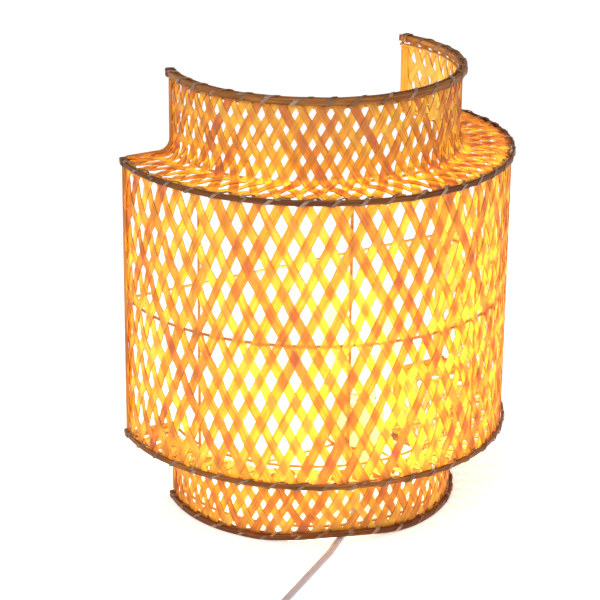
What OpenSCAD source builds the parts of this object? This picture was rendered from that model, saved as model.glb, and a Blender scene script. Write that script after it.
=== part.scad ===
// Half-round woven bamboo lamp with a lashed wire frame, a screw lampholder,
// a round bulb and a mains lead with an in-line switch and a flat plug.
// +Z is up, +Y is the open back, z = 0 is the surface that the lamp stands on.

/* [Shade] */
// Height over both rims
shade_h = 369; // [360:1:380]
// Radius of the weave in the drum
drum_r = 159; // [155:1:163]
// Radius of the weave in both collars
collar_r = 117.5; // [115:0.5:120]
// Height of the drum between its two hoops
drum_h = 231; // [225:1:237]
// Distance from the drum's axis to the open back
back_gap = 37; // [34:1:40]
// Radius of the bend between a collar and its shoulder
neck_bend = 11; // [9:0.5:13]
// Thickness of two woven strips
weave_t = 2; // [1.6:0.1:2.2]

/* [Rims] */
// Height of the lashed top and bottom rims
rim_h = 5.4; // [5:0.1:8]
// Height of the canes around the drum
hoop_h = 4.6; // [4:0.2:6]
// How far the bottom rim rises to clear the lead
rim_lift = 5.5; // [5.4:0.1:7]
// Lashings along the top and bottom rims
rim_lashings = 19; // [15:2:31]
// Lashings along each drum hoop
hoop_lashings = 25; // [17:2:37]

/* [Wire frame] */
// Thickness of the frame's wire
wire_d = 2.2; // [2.2:0.1:3]
// Number of upright ribs
rib_count = 4; // [2:1:4]
// Angle between two ribs
rib_step = 45; // [40:0.5:50]

/* [Lamp] */
// Distance of the lamp's axis behind the middle of the part
lamp_y = -9; // [-12:1:-6]
// Radius of the bulb's globe
globe_r = 40; // [36:1:42]
// Height of the globe's middle
globe_z = 162.5; // [160:0.5:166]
// Inner radius of the ring that holds the lampholder
fitter_r = 20.3; // [20.2:0.1:20.6]

/* [Lead] */
// Thickness of the lead
cord_d = 5.2; // [4.8:0.1:5.3]
// Length of the in-line switch
switch_l = 62; // [58:1:64]
// Height of the in-line switch
switch_h = 16; // [15:0.5:17]
// Thickness of the plug
plug_h = 14; // [13:0.5:15]

/* [Hidden] */
$fn = 48;

cane_t = 2.2;              // thickness of the cane around the drum
band_t = 3;                // thickness of the rims' outer bands
inner_band_t = 1.6;        // thickness of the rims' inner bands
strip_t = 0.8;             // thickness of one bamboo strip
gap = 0.15;                // space between pieces that touch
lash_w = 3;                // width of one lashing
lash_t = 0.45;             // thickness of one lashing
hoop_out = drum_r + weave_t / 2 + gap + cane_t + lash_t;
axis_y = (hoop_out - back_gap) / 2;      // where the drum's axis stands
post_y = back_gap - wire_d / 2 - 0.2;    // posts and rear bar, from the axis
weave_y = post_y - wire_d / 2 - 0.3;     // where the weave ends, from the axis
mid_z = shade_h / 2;
hoop_z = drum_h / 2;                     // hoops above and below the middle
shoulder_z = hoop_z + 2;                 // the woven shoulder's mid-surface
ring_r = drum_r - weave_t / 2 - wire_d / 2 - gap;
collar_ring_r = collar_r - weave_t / 2 - wire_d / 2 - gap;
bend_z = shoulder_z + neck_bend;         // start of the bend in a collar
bend_r = collar_r + neck_bend;           // end of the bend in a shoulder
post_bend = 5;             // radius of the bends in a post's wire
nest = (post_bend + wire_d - 0.2) * sqrt(0.5);
neck_ring_r = collar_r + post_bend - nest;
neck_ring_z = shoulder_z + post_bend - nest;
rim_ring_z = rim_h + wire_d / 2 + 1.6;   // below the top rim's edge

// ---- helpers ----

module on_axis() { translate([0, axis_y, 0]) children(); }

// turns a shape made for the upper half into its twin in the lower half
module lower_half() {
    translate([0, 0, shade_h]) mirror([0, 0, 1]) children();
}

// half of the angle that an arc of this radius covers up to a depth y
function reach(r, y) = 90 + asin(y / r);

// a wire bent to an arc around the axis, open at the back
module wire_arc(r, z) {
    a = reach(r, post_y);
    on_axis() translate([0, 0, mid_z + z])
        rotate_extrude(angle = 2 * a, start = 270 - a)
            translate([r, 0]) circle(d = wire_d);
}

// a flat band bent to an arc around the axis, open at the back
module band_arc(r0, r1, z0, z1, y = back_gap - 0.1) {
    on_axis() difference() {
        rotate_extrude($fn = 96)
            translate([r0, z0]) square([r1 - r0, z1 - z0]);
        translate([-r1 - 5, y, z0 - 1])
            cube([2 * r1 + 10, r1, z1 - z0 + 2]);
    }
}

// height by which the bottom rim is lifted, t millimetres beside the lead
hump_w = 75;
function hump(t) = abs(t) >= hump_w ? 0
    : rim_lift * (1 + cos(180 * t / hump_w)) / 2;
hump_a = -22.6;            // where the lead leaves, round from the front
hump_steps = 12;

// block between two heights that both follow the lifted rim
module lifted(z0, z1) {
    far = 200;
    ts = concat([-far], [for (i = [0 : hump_steps]) -hump_w + i * 2 * hump_w / hump_steps],
        [far]);
    on_axis() rotate([0, 0, hump_a]) translate([0, far, 0]) rotate([90, 0, 0])
        linear_extrude(2 * far)
            polygon(concat([for (t = ts) [t, z0 + hump(t)]],
                [for (i = [len(ts) - 1 : -1 : 0]) [ts[i], z1 + hump(ts[i])]]));
}

// a flat band whose front rises over the lead
module lifted_band(r0, r1, h) {
    intersection() {
        band_arc(r0, r1, -1, h + rim_lift + 1);
        lifted(0, h);
    }
}

// angles of the lashings along a rim of this radius
function lash_angles(r, count) = let (a = reach(r, weave_y) - 1.5)
    [for (i = [1 : count - 2]) -a + 2 * a * i / (count - 1)];

// one loop of lashing around a rim's section
module lash_loop(r0, r1, z0, z1) {
    difference() {
        translate([-lash_w / 2, -r1, z0]) cube([lash_w, r1 - r0, z1 - z0]);
        translate([-lash_w, -r1 + lash_t, z0 + lash_t])
            cube([2 * lash_w, r1 - r0 - 2 * lash_t, z1 - z0 - 2 * lash_t]);
    }
}

// loops all along a rim, raised where the rim is
module lash_row(r0, r1, z0, z1, count, follows_lift = false) {
    on_axis() for (a = lash_angles((r0 + r1) / 2, count)) {
        t = (r0 + r1) / 2 * sin(a - hump_a);
        rise = follows_lift && abs(a - hump_a) < 90 ? hump(t) : 0;
        translate([0, 0, rise]) rotate([0, 0, a]) lash_loop(r0, r1, z0, z1);
    }
}

// ---- wire frame ----

module top_ring() { color("peru") wire_arc(collar_ring_r, mid_z - rim_ring_z); }
module bottom_ring() { color("peru") wire_arc(collar_ring_r, rim_ring_z + rim_lift - mid_z); }
module upper_neck_ring() { color("peru") wire_arc(neck_ring_r, neck_ring_z); }
module lower_neck_ring() { color("peru") wire_arc(neck_ring_r, -neck_ring_z); }
module upper_drum_ring() { color("peru") wire_arc(ring_r, hoop_z - 1); }
module middle_ring() { color("peru") wire_arc(ring_r, 0); }
module lower_drum_ring() { color("peru") wire_arc(ring_r, 1 - hoop_z); }

rib_r = ring_r - wire_d + 0.2;

module drum_ribs() {
    color("peru") on_axis() for (i = [1 : rib_count])
        rotate([0, 0, (i - (rib_count + 1) / 2) * rib_step])
            translate([0, -rib_r, mid_z - hoop_z]) cylinder(h = drum_h, d = wire_d);
}

// x of the post beside a woven radius
function post_x(r) = sqrt(r * r - post_y * post_y);

// a quarter bend in a wire, from straight up to the middle of the part
module wire_bend(r, from) {
    rotate([90, 0, 0]) rotate_extrude(angle = 90, start = from)
        translate([r, 0]) circle(d = wire_d);
}

corner_bend = 3;

// half of a wire bent along the shade's outline in the open back
module half_post() {
    x0 = post_x(collar_r);
    x1 = post_x(drum_r);
    top = mid_z - 1;
    translate([x0, 0, shoulder_z + post_bend])
        cylinder(h = top - shoulder_z - post_bend, d = wire_d);
    translate([x0 + post_bend, 0, shoulder_z + post_bend]) wire_bend(post_bend, 180);
    translate([x0 + post_bend, 0, shoulder_z]) rotate([0, 90, 0])
        cylinder(h = x1 - x0 - post_bend - corner_bend, d = wire_d);
    translate([x1 - corner_bend, 0, shoulder_z - corner_bend]) wire_bend(corner_bend, 0);
    translate([x1, 0, 0]) cylinder(h = shoulder_z - corner_bend, d = wire_d);
}
module post() {
    on_axis() translate([0, post_y, mid_z]) {
        half_post();
        mirror([0, 0, 1]) half_post();
    }
}
module right_post() { color("peru") post(); }
module left_post() { color("peru") mirror([1, 0, 0]) post(); }

bar_x = post_x(drum_r) - wire_d / 2 + 0.2;
module rear_bar() {
    color("peru") on_axis()
        translate([-bar_x, post_y, mid_z]) rotate([0, 90, 0])
            cylinder(h = 2 * bar_x, d = wire_d);
}

fitter_z = mid_z - neck_ring_z + 0.9;
fitter_t = 2.2;
fitter_w = 6.5;

// the flat ring that carries the lampholder, with three wires to the neck ring
module lamp_carrier() {
    arm_x = sqrt(pow(neck_ring_r, 2) - pow(axis_y - lamp_y, 2)) - 0.6;
    arm_front = neck_ring_r - (axis_y - lamp_y) - 0.8;
    z = mid_z - neck_ring_z;
    color("peru") translate([0, lamp_y, 0]) {
        difference() {
            translate([0, 0, fitter_z]) cylinder(h = fitter_t, r = fitter_r + fitter_w);
            translate([0, 0, fitter_z - 1]) cylinder(h = fitter_t + 2, r = fitter_r);
        }
        for (side = [-1, 1])
            translate([side * (fitter_r + 3), 0, z]) rotate([0, side * 90, 0])
                cylinder(h = arm_x - fitter_r - 3, d = wire_d);
        translate([0, -fitter_r - 3, z]) rotate([90, 0, 0])
            cylinder(h = arm_front - fitter_r - 3, d = wire_d);
    }
}

// ---- weave ----

// outline of a shell beside the collar, the bend and the shoulder as far as out_r,
// between two distances from the woven mid-surface, the inner one on the bulb's side
module neck_outline(inner, outer, top, out_r = drum_r + weave_t / 2) {
    steps = 6;
    line = [for (i = [0 : steps]) 180 + 90 * i / steps];
    translate([0, mid_z]) polygon(concat(
        [[collar_r + outer, top]],
        [for (a = line) [bend_r + (neck_bend - outer) * cos(a),
            bend_z + (neck_bend - outer) * sin(a)]],
        out_r > bend_r ? [[out_r, shoulder_z + outer], [out_r, shoulder_z + inner]] : [],
        [for (i = [steps : -1 : 0]) [bend_r + (neck_bend - inner) * cos(line[i]),
            bend_z + (neck_bend - inner) * sin(line[i])]],
        [[collar_r + inner, top]]));
}

module open_back(y) {
    difference() {
        children();
        translate([-200, axis_y + y, -5]) cube([400, 250, shade_h + 10]);
    }
}

module upper_collar() {
    color("goldenrod") open_back(weave_y) on_axis() rotate_extrude($fn = 96)
        neck_outline(-weave_t / 2, weave_t / 2, mid_z, bend_r);
}

module upper_shoulder() {
    color("goldenrod") open_back(weave_y) on_axis() rotate_extrude($fn = 96)
        translate([bend_r, mid_z + shoulder_z - weave_t / 2])
            square([drum_r + weave_t / 2 - bend_r, weave_t]);
}

module drum_weave() {
    z = mid_z - shoulder_z + weave_t / 2;
    color("orange") open_back(weave_y) on_axis() rotate_extrude($fn = 96)
        translate([drum_r - weave_t / 2, z]) square([weave_t, shade_h - 2 * z]);
}

module lower_shoulder() { color("peru") lower_half() upper_shoulder(); }

module lower_collar() {
    color("peru") difference() {
        lower_half() upper_collar();
        lifted(-rim_lift - 3, 0);
    }
}

// the strip that is folded over a post, outside the weave
module edge_strip() {
    edge_w = 7;
    out0 = weave_t / 2 + 0.45;
    out1 = out0 + strip_t;
    z = hoop_z - hoop_h / 2 - 1;
    intersection() {
        union() {
            on_axis() rotate_extrude($fn = 96) union() {
                neck_outline(out0, out1, mid_z - rim_h - 0.5);
                translate([0, shade_h]) mirror([0, 1])
                    neck_outline(out0, out1, mid_z - rim_h - 0.5);
            }
            band_arc(drum_r + out0, drum_r + out1, mid_z - z, mid_z + z, back_gap);
        }
        translate([50, axis_y + back_gap - edge_w, 0]) cube([150, edge_w, shade_h]);
    }
}
module right_edge_strip() { color("darkorange") edge_strip(); }
module left_edge_strip() { color("darkorange") mirror([1, 0, 0]) edge_strip(); }

// ---- rims ----

rim_out0 = collar_r + weave_t / 2 + gap;
rim_out1 = rim_out0 + band_t;
rim_in1 = collar_r - weave_t / 2 - gap;
rim_in0 = rim_in1 - inner_band_t;

module top_outer_band() {
    color("saddlebrown") band_arc(rim_out0, rim_out1, shade_h - rim_h, shade_h);
}
module top_inner_band() {
    color("saddlebrown") band_arc(rim_in0, rim_in1, shade_h - rim_h, shade_h);
}
module top_lashing() {
    color("rosybrown") lash_row(rim_in0 - lash_t, rim_out1 + lash_t,
        shade_h - rim_h - lash_t, shade_h, rim_lashings);
}
module bottom_outer_band() {
    color("saddlebrown") lifted_band(rim_out0, rim_out1, rim_h);
}
module bottom_inner_band() {
    color("saddlebrown") lifted_band(rim_in0, rim_in1, rim_h);
}
module bottom_lashing() {
    color("rosybrown") lash_row(rim_in0 - lash_t, rim_out1 + lash_t,
        0, rim_h + lash_t, rim_lashings, true);
}

cane_r0 = drum_r + weave_t / 2 + gap;
cane_r1 = cane_r0 + cane_t;
lash_r0 = ring_r - wire_d / 2 - lash_t;

module hoop_cane(z) {
    band_arc(cane_r0, cane_r1, mid_z + z - hoop_h / 2, mid_z + z + hoop_h / 2);
}
module hoop_lashing() {
    lash_row(lash_r0, cane_r1 + lash_t, mid_z + hoop_z - hoop_h / 2 - lash_t,
        mid_z + shoulder_z + weave_t / 2 + lash_t, hoop_lashings);
}
module upper_hoop_cane() { color("saddlebrown") hoop_cane(hoop_z); }
module lower_hoop_cane() { color("saddlebrown") hoop_cane(-hoop_z); }
module upper_hoop_lashing() { color("rosybrown") hoop_lashing(); }
module lower_hoop_lashing() { color("rosybrown") lower_half() hoop_lashing(); }

// the thicker wrapping at both ends of a rim
knot_w = 6;
knot_t = 1.1;
module knot_pair(r0, r1, z0, z1) {
    a = reach(r1, weave_y) - 1.8;
    on_axis() for (a = [-a, a]) rotate([0, 0, a]) difference() {
        translate([-knot_w / 2, -r1 - knot_t, z0]) cube([knot_w, r1 - r0 + 2 * knot_t, z1 - z0]);
        translate([-knot_w, -r1, z0 + knot_t])
            cube([2 * knot_w, r1 - r0, z1 - z0 - 2 * knot_t]);
    }
}

module end_knots() {
    color("rosybrown") {
        knot_pair(rim_in0, rim_out1, shade_h - rim_h - knot_t, shade_h);
        knot_pair(rim_in0, rim_out1, 0, rim_h + knot_t);
        knot_pair(lash_r0, cane_r1, mid_z + hoop_z - hoop_h / 2 - knot_t,
            mid_z + shoulder_z + weave_t / 2 + knot_t);
        lower_half() knot_pair(lash_r0, cane_r1, mid_z + hoop_z - hoop_h / 2 - knot_t,
            mid_z + shoulder_z + weave_t / 2 + knot_t);
    }
}

// ---- lampholder ----

body_r = fitter_r - 0.5;
body_wall = 2.2;
body_z0 = fitter_z - 7;
body_z1 = globe_z - globe_r - 16.5;
flange_r = fitter_r + 2.4;
tip_z = globe_z + globe_r - 118;     // lowest point of the bulb
cap_z0 = body_z0 - 13;
grip_r = 7;
grip_top = 4;
grip_l = 20;

module on_lamp(z = 0) { translate([0, lamp_y, z]) children(); }

module holder_body() {
    color("white") on_lamp() difference() {
        union() {
            translate([0, 0, body_z0]) cylinder(h = body_z1 - body_z0, r = body_r);
            translate([0, 0, fitter_z - 3.2]) cylinder(h = 3, r = flange_r);
            for (i = [0 : 5])
                translate([0, 0, fitter_z + 13 + i * 3.5]) rotate_extrude()
                    translate([body_r, 0]) circle(d = 1.2);
        }
        translate([0, 0, body_z0 - 1])
            cylinder(h = body_z1 - body_z0 + 2, r = body_r - body_wall);
    }
}

// the domed end that closes the holder and lets the lead in
module holder_cap() {
    t = 2;
    h = body_z0 - cap_z0 - 0.2;
    color("white") on_lamp(cap_z0) rotate_extrude() difference() {
        polygon([[grip_r + 0.2, 0], [body_r - 5, 0], [body_r - 1.5, 3.5],
            [body_r, 8], [body_r, h], [0, h], [0, t], [grip_r + 0.2, t]]);
        polygon([[-1, t], [body_r - 6, t], [body_r - 3.2, 5],
            [body_r - t, 9], [body_r - t, h + 1], [-1, h + 1]]);
    }
}

module shade_ring() {
    z = fitter_z + fitter_t + 0.2;
    color("whitesmoke") on_lamp(z) difference() {
        union() {
            cylinder(h = 9, r = fitter_r + 3);
            cylinder(h = 2.4, r = fitter_r + 6);
            for (i = [0 : 17]) rotate([0, 0, i * 20])
                translate([fitter_r + 2.4, -1, 0]) cube([1.6, 2, 9]);
        }
        translate([0, 0, -1]) cylinder(h = 11, r = body_r + 0.25);
    }
}

// the ceramic disc that the contacts stand on, with two holes for the cores
module contact_block() {
    disc_t = 6.5;
    core_hole_x = 9;
    core_hole_r = 1.6;
    color("ivory") on_lamp(tip_z - 9) difference() {
        cylinder(h = disc_t, r = body_r - body_wall - 0.2);
        for (x = [-1, 1] * core_hole_x)
            translate([x, 0, -1]) cylinder(h = disc_t + 2, r = core_hole_r);
    }
}

// the cup that the bulb screws into, open round the centre contact
module screw_shell() {
    shell_r = 13.9;
    wall = 0.5;
    depth = 21;
    contact_hole_r = 6;
    color("gold") on_lamp(tip_z - 2.4) difference() {
        cylinder(h = depth, r = shell_r);
        translate([0, 0, wall]) cylinder(h = depth + 1, r = shell_r - wall);
        translate([0, 0, -1]) cylinder(h = 3, r = contact_hole_r);
    }
}

module centre_contact() {
    color("gold") on_lamp(tip_z - 2.4) union() {
        translate([-1, -2.5, 0]) cube([6, 5, 0.5]);
        cylinder(h = 2.1, r = 2);
    }
}

module cord_grip() {
    color("whitesmoke") on_lamp(cap_z0 + grip_top - grip_l) rotate_extrude()
        polygon([[cord_d / 2 + 0.1, 0], [cord_d / 2 + 1.6, 0], [grip_r - 1, grip_l - 6],
            [grip_r, grip_l - 6], [grip_r, grip_l], [cord_d / 2 + 0.1, grip_l]]);
}

// ---- bulb ----

cap_top = tip_z + 27;
thread_pitch = 3.63;
cap_r = 13;                // over the cap's wall
cap_wall = 0.5;
cap_low = tip_z + 4.4;     // where the cap's wall begins
insulator_r = 7;

// glass outline: a globe that narrows into the cap
glass_neck_r = 12.1;
module glass_outline(t) {
    r = globe_r - t;
    n = 28;
    a0 = -63;
    low = [r * cos(a0), globe_z + r * sin(a0)];
    polygon(concat([[0, cap_top - 6 + t]], [[glass_neck_r - t, cap_top - 6 + t]],
        [[glass_neck_r - t, cap_top + 1]], [[14.5 - t, (cap_top + low[1]) / 2 - 1.5]],
        [for (i = [0 : n]) let (a = a0 + (90 - a0) * i / n)
            [r * cos(a), globe_z + r * sin(a)]]));
}

module bulb_glass() {
    color("lightyellow", 0.5) on_lamp() rotate_extrude() difference() {
        glass_outline(0);
        glass_outline(0.9);
    }
}

module bulb_cap() {
    color("silver") on_lamp() rotate_extrude() union() {
        translate([cap_r - cap_wall, cap_low]) square([cap_wall, cap_top - cap_low]);
        for (i = [0 : 4])
            translate([cap_r - cap_wall / 2, cap_low + 3.6 + i * thread_pitch])
                circle(d = 2 * cap_wall, $fn = 16);
        polygon([[insulator_r, cap_low - 1], [cap_r - cap_wall, cap_low],
            [cap_r, cap_low + 0.6], [cap_r - cap_wall, cap_low + 0.6],
            [insulator_r, cap_low - 0.4]]);
    }
}

module bulb_insulator() {
    color("black") on_lamp() rotate_extrude()
        polygon([[0, tip_z + 1.5], [4.5, tip_z + 1.5], [insulator_r - 0.1, cap_low - 1],
            [insulator_r - 0.1, cap_low], [0, cap_low]]);
}

module bulb_tip() {
    color("silver") on_lamp() rotate_extrude()
        polygon([[0, tip_z], [2.6, tip_z + 0.2], [4, tip_z + 1.4], [0, tip_z + 1.4]]);
}

stem_top = globe_z - 8;
module bulb_stem() {
    color("lightcyan", 0.6) on_lamp() rotate_extrude()
        polygon([[0, cap_top - 4.8], [11, cap_top - 4.8], [9, cap_top + 1], [3.5, cap_top + 8],
            [2.5, stem_top], [0, stem_top]]);
}

filament_n = 4;
filament_l = 30;
module bulb_filament() {
    color("gold") on_lamp(stem_top) {
        cylinder(h = 1.2, r = 6.5);
        for (i = [0 : filament_n - 1]) rotate([0, 0, 45 + i * 90])
            translate([5.2, 0, 1.2]) cylinder(h = filament_l, r = 0.9);
        translate([0, 0, 1.2 + filament_l]) cylinder(h = 0.8, r = 6.5);
    }
}

// ---- lead ----

floor_z = cord_d / 2 + 0.1;
grip_z = cap_z0 + grip_top - grip_l;

// route of the lead, from the grip to the coil
lead_route = [[0, -9, grip_z], [0, -9, 24], [-0.5, -9.5, 18.5], [-2.2, -11, 13.5],
    [-4.7, -13.2, 9], [-8, -16.2, 5.6], [-12, -20, 3.4], [-16.5, -24, floor_z],
    [-24, -30.6, floor_z], [-31, -37, floor_z], [-39, -43.6, floor_z],
    [-47, -50, floor_z], [-55.5, -57, floor_z], [-64, -63.6, floor_z],
    [-74, -70.4, floor_z], [-85, -77.6, floor_z], [-97, -85.6, floor_z],
    [-109, -93.6, floor_z], [-121, -101.6, floor_z], [-133, -109.6, floor_z],
    [-145, -117.7, floor_z], [-157, -125.8, floor_z], [-169, -133.9, floor_z],
    [-180, -141.3, floor_z], [-190, -148, floor_z]];
// from the coil to the switch
run_route = [[-182.8, -215.9, 7.9], [-170, -221.4, 6.2], [-158, -225.6, 3.9],
    [-148, -228, 3.6], [-136, -229, 6], [-124, -229, 8]];
// from the switch to the plug
tail_route = [[-62, -229, 8], [-53, -229, 6.8], [-44, -229.2, 4.9], [-33.4, -232, 3.4],
    [-25.6, -239.8, floor_z], [-22.6, -250.5, floor_z], [-25.6, -261.2, floor_z],
    [-33.4, -269, 3], [-44, -271.8, 4], [-54, -272, 5.8], [-66, -272, 7]];
coil_at = [-167, -182];
coil_r0 = 18.2;
coil_r1 = 43.7;
coil_h = 10.5;

// round tube along a list of points
function unit(v) = v / norm(v);
function way(p, i) = unit(p[min(i + 1, len(p) - 1)] - p[max(i - 1, 0)]);
function side(d) = abs(d[2]) > 0.9 ? [1, 0, 0] - d[0] * d : cross([0, 0, 1], d);
module tube(p, d, sides = 10) {
    ring_points = [for (i = [0 : len(p) - 1])
        let (w = way(p, i), u = unit(side(w)), v = cross(w, u))
            for (k = [0 : sides - 1])
                p[i] + d / 2 * (cos(360 * k / sides) * u + sin(360 * k / sides) * v)];
    last = (len(p) - 1) * sides;
    polyhedron(ring_points, concat(
        [[for (k = [sides - 1 : -1 : 0]) k]],
        [for (i = [0 : len(p) - 2], k = [0 : sides - 1])
            let (a = i * sides + k, b = i * sides + (k + 1) % sides)
                [a, b, b + sides, a + sides]],
        [[for (k = [0 : sides - 1]) last + k]]), convexity = 6);
}

module cord_lead() { color("white") tube(lead_route, cord_d); }
module cord_run() { color("white") tube(run_route, cord_d); }
module cord_tail() { color("white") tube(tail_route, cord_d); }
module cord_coil() {
    color("white") translate([coil_at[0], coil_at[1], 0.1]) rotate_extrude()
        translate([coil_r0, 0]) square([coil_r1 - coil_r0, coil_h]);
}

// the tie around the coil's turns
module coil_tie() {
    w = 6;
    t = 0.8;
    color("black") translate([coil_at[0], coil_at[1], 0]) rotate([0, 0, 20])
        difference() {
            translate([coil_r0 - t, -w / 2, 0])
                cube([coil_r1 - coil_r0 + 2 * t, w, coil_h + 0.1 + t]);
            translate([coil_r0 - 0.05, -w, 0.15])
                cube([coil_r1 - coil_r0 + 0.1, 2 * w, coil_h]);
        }
}

// ---- in-line switch ----

switch_at = [-124, -229];
switch_w = 26;
switch_wall = 2;
split_z = 8;
rocker_l = 17;
rocker_w = 10;
rocker_tilt = 7;
pivot_z = 12.4;
pivot_r = 1;
screw_x = 9;
screw_y = 8.5;

module at_switch() { translate([switch_at[0], switch_at[1], 0]) children(); }

// plan of the switch, set in from its outline
module switch_plan(inset) {
    r = 8;
    w = switch_w - 2 * inset;
    l = switch_l - 2 * inset;
    q = r - inset;
    translate([inset, 0]) union() {
        translate([q, -w / 2]) square([l - 2 * q, w]);
        translate([0, -w / 2 + q]) square([l, w - 2 * q]);
        for (x = [q, l - q], y = [-w / 2 + q, w / 2 - q])
            translate([x, y]) circle(r = q);
    }
}

// passage for the lead at both ends
module lead_passage() {
    translate([-1, 0, split_z]) rotate([0, 90, 0])
        cylinder(h = switch_l + 2, d = cord_d + 0.2);
}

module switch_top() {
    color("white") at_switch() difference() {
        union() {
            translate([0, 0, split_z + 0.1]) linear_extrude(switch_h - split_z - 2.1)
                switch_plan(0);
            translate([0, 0, switch_h - 2]) linear_extrude(1) switch_plan(0.6);
            translate([0, 0, switch_h - 1]) linear_extrude(1) switch_plan(1.6);
        }
        difference() {
            translate([0, 0, split_z - 1]) linear_extrude(switch_h - split_z - 1)
                switch_plan(switch_wall);
            for (x = [screw_x, switch_l - screw_x])
                translate([x, (x < switch_l / 2 ? 1 : -1) * screw_y, split_z - 2])
                    cylinder(h = 10, r = 2.6);
            for (y = [-1, 1]) translate([switch_l / 2 - 3, y * (rocker_w / 2 + 1.8) - 1.2,
                split_z - 2]) cube([6, 2.4, 12]);
        }
        for (x = [screw_x, switch_l - screw_x])
            translate([x, (x < switch_l / 2 ? 1 : -1) * screw_y, split_z - 1])
                cylinder(h = 6, r = 1.3);
        translate([switch_l / 2 - rocker_l / 2 - 0.5, -rocker_w / 2 - 0.4, split_z])
            cube([rocker_l + 1, rocker_w + 0.8, switch_h]);
        translate([switch_l / 2, -rocker_w / 2 - 3.4, pivot_z]) rotate([-90, 0, 0])
            cylinder(h = rocker_w + 6.8, r = pivot_r);
        lead_passage();
    }
}

module switch_base() {
    color("white") at_switch() difference() {
        union() {
            linear_extrude(1) switch_plan(1);
            translate([0, 0, 1]) linear_extrude(split_z - 1) switch_plan(0);
        }
        difference() {
            translate([0, 0, switch_wall]) linear_extrude(split_z) switch_plan(switch_wall);
            for (x = [screw_x, switch_l - screw_x])
                translate([x, (x < switch_l / 2 ? 1 : -1) * screw_y, 0])
                    cylinder(h = split_z, r = 3.9);
        }
        for (x = [screw_x, switch_l - screw_x])
            translate([x, (x < switch_l / 2 ? 1 : -1) * screw_y, -1]) {
                cylinder(h = split_z + 2, r = 1.5);
                cylinder(h = 3.4, r = 2.7);
            }
        lead_passage();
    }
}

module switch_screws() {
    color("silver") at_switch() for (x = [screw_x, switch_l - screw_x])
        translate([x, (x < switch_l / 2 ? 1 : -1) * screw_y, 0.6]) {
            difference() {
                cylinder(h = 1.8, r = 2.4);
                translate([-3, -0.3, -1]) cube([6, 0.6, 1.6]);
            }
            translate([0, 0, 1.8]) cylinder(h = 9, r = 1.2);
        }
}

module switch_pin() {
    color("silver") at_switch()
        translate([switch_l / 2, -rocker_w / 2 - 3.2, pivot_z]) rotate([-90, 0, 0])
            cylinder(h = rocker_w + 6.4, r = pivot_r - 0.02);
}

// a rocker with a shallow V on top, pressed down at the end beside the lamp
module switch_rocker() {
    l = rocker_l / 2 - 0.3;
    color("gainsboro") at_switch() translate([switch_l / 2, 0, pivot_z])
        rotate([0, -rocker_tilt, 0]) rotate([90, 0, 0])
            translate([0, 0, -rocker_w / 2]) linear_extrude(rocker_w) difference() {
                polygon([[-l, 3.4], [0, 4.4], [l, 3.4], [l - 0.6, 0], [2.2, -1.6],
                    [-2.2, -1.6], [-l + 0.6, 0]]);
                circle(r = pivot_r + 0.03);
            }
}

// ---- plug ----

plug_at = [-66, -272];
plug_w = 35;
plug_l = 36;
relief_l = 22;
pin_gap = 18.6;
pin_r = 2;
pin_l = 19;

// everything on the plug is drawn along -X from the lead's end
module at_plug() {
    translate([plug_at[0], plug_at[1], plug_h / 2]) rotate([0, 0, 180]) children();
}

module plug_relief() {
    color("white") at_plug() rotate([0, 90, 0]) rotate_extrude() difference() {
        polygon([[0, 0], [cord_d / 2 + 0.9, 0], [cord_d / 2 + 2.4, relief_l],
            [0, relief_l]]);
        for (i = [0 : 4])
            translate([cord_d / 2 + 1.1, 3 + i * 3.6]) square([3, 1.2]);
    }
}

module plug_body() {
    t = plug_h;
    color("white") at_plug() translate([relief_l, 0, 0]) union() {
        translate([0, 0, -t / 2]) linear_extrude(t) polygon([[0, -7], [9, -9.5],
            [plug_l - 14, -plug_w / 2 + 1], [plug_l - 8, -plug_w / 2], [plug_l, -plug_w / 2],
            [plug_l, plug_w / 2], [plug_l - 8, plug_w / 2], [plug_l - 14, plug_w / 2 - 1],
            [9, 9.5], [0, 7]]);
    }
}

module plug_pins() {
    color("gold") at_plug() for (y = [-1, 1] * pin_gap / 2)
        translate([relief_l + plug_l, y, 0]) rotate([0, 90, 0]) {
            cylinder(h = pin_l - 1, r = pin_r);
            translate([0, 0, pin_l - 1]) cylinder(h = 1, r1 = pin_r, r2 = pin_r - 0.8);
        }
}

top_ring();
upper_neck_ring();
upper_drum_ring();
middle_ring();
lower_drum_ring();
lower_neck_ring();
bottom_ring();
drum_ribs();
left_post();
right_post();
rear_bar();
lamp_carrier();
upper_collar();
upper_shoulder();
drum_weave();
lower_shoulder();
lower_collar();
left_edge_strip();
right_edge_strip();
top_outer_band();
top_inner_band();
top_lashing();
upper_hoop_cane();
upper_hoop_lashing();
lower_hoop_cane();
lower_hoop_lashing();
bottom_outer_band();
bottom_inner_band();
bottom_lashing();
end_knots();
holder_body();
holder_cap();
shade_ring();
contact_block();
screw_shell();
centre_contact();
cord_grip();
bulb_glass();
bulb_cap();
bulb_insulator();
bulb_tip();
bulb_stem();
bulb_filament();
cord_lead();
cord_coil();
cord_run();
cord_tail();
coil_tie();
switch_top();
switch_base();
switch_rocker();
switch_pin();
switch_screws();
plug_body();
plug_relief();
plug_pins();
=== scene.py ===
import math
import random

import bmesh
import bpy
import numpy as np
from mathutils import Matrix, Vector


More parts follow.
